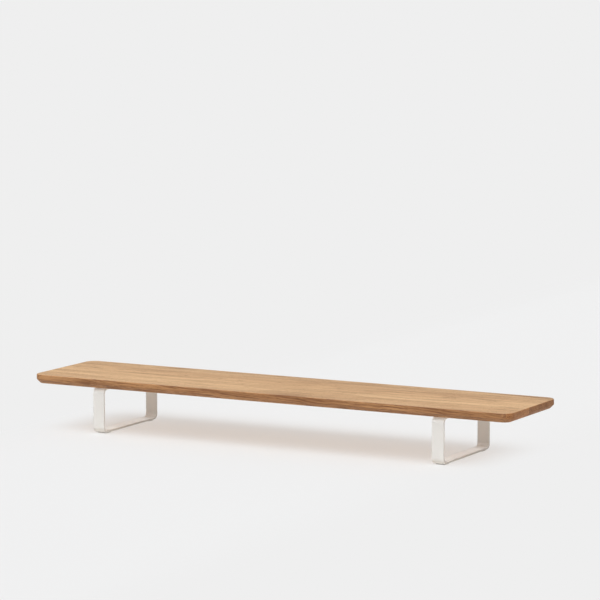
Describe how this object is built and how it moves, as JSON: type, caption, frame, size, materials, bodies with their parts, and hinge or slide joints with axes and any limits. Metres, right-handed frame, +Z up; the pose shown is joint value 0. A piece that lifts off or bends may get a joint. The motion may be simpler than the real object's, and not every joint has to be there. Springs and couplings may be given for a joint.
{
  "type": "monitor riser stand",
  "caption": "Long low desk riser: an oak board with rounded corners and a chamfered underside on bent flat steel bar legs, lifting a monitor and leaving keyboard space below.",
  "frame": {"origin": "on the desk, under the middle of the board", "axes": "+X along the board to the right seen from the front, +Y to the back, +Z up"},
  "size_m": [1.05, 0.22, 0.11],
  "materials": {
    "oak": "edge-glued solid oak, oiled, satin, grain along the length",
    "leg_coating": "white powder coat, fine texture, satin",
    "fastener_steel": "zinc plated",
    "insert_steel": "zinc plated, yellowish passivation",
    "foot_rubber": "matte, self-adhesive"
  },
  "bodies": {
    "root": {"board": "oak", "leg_left": "leg_coating", "leg_right": "leg_coating", "screw_left_front_outer": "fastener_steel", "screw_left_front_inner": "fastener_steel", "screw_left_back_outer": "fastener_steel", "screw_left_back_inner": "fastener_steel", "screw_right_front_outer": "fastener_steel", "screw_right_front_inner": "fastener_steel", "screw_right_back_outer": "fastener_steel", "screw_right_back_inner": "fastener_steel", "insert_left_front_outer": "insert_steel", "insert_left_front_inner": "insert_steel", "insert_left_back_outer": "insert_steel", "insert_left_back_inner": "insert_steel", "insert_right_front_outer": "insert_steel", "insert_right_front_inner": "insert_steel", "insert_right_back_outer": "insert_steel", "insert_right_back_inner": "insert_steel", "foot_pad_left_front": "foot_rubber", "foot_pad_left_back": "foot_rubber", "foot_pad_right_front": "foot_rubber", "foot_pad_right_back": "foot_rubber"}
  },
  "joints": []
}
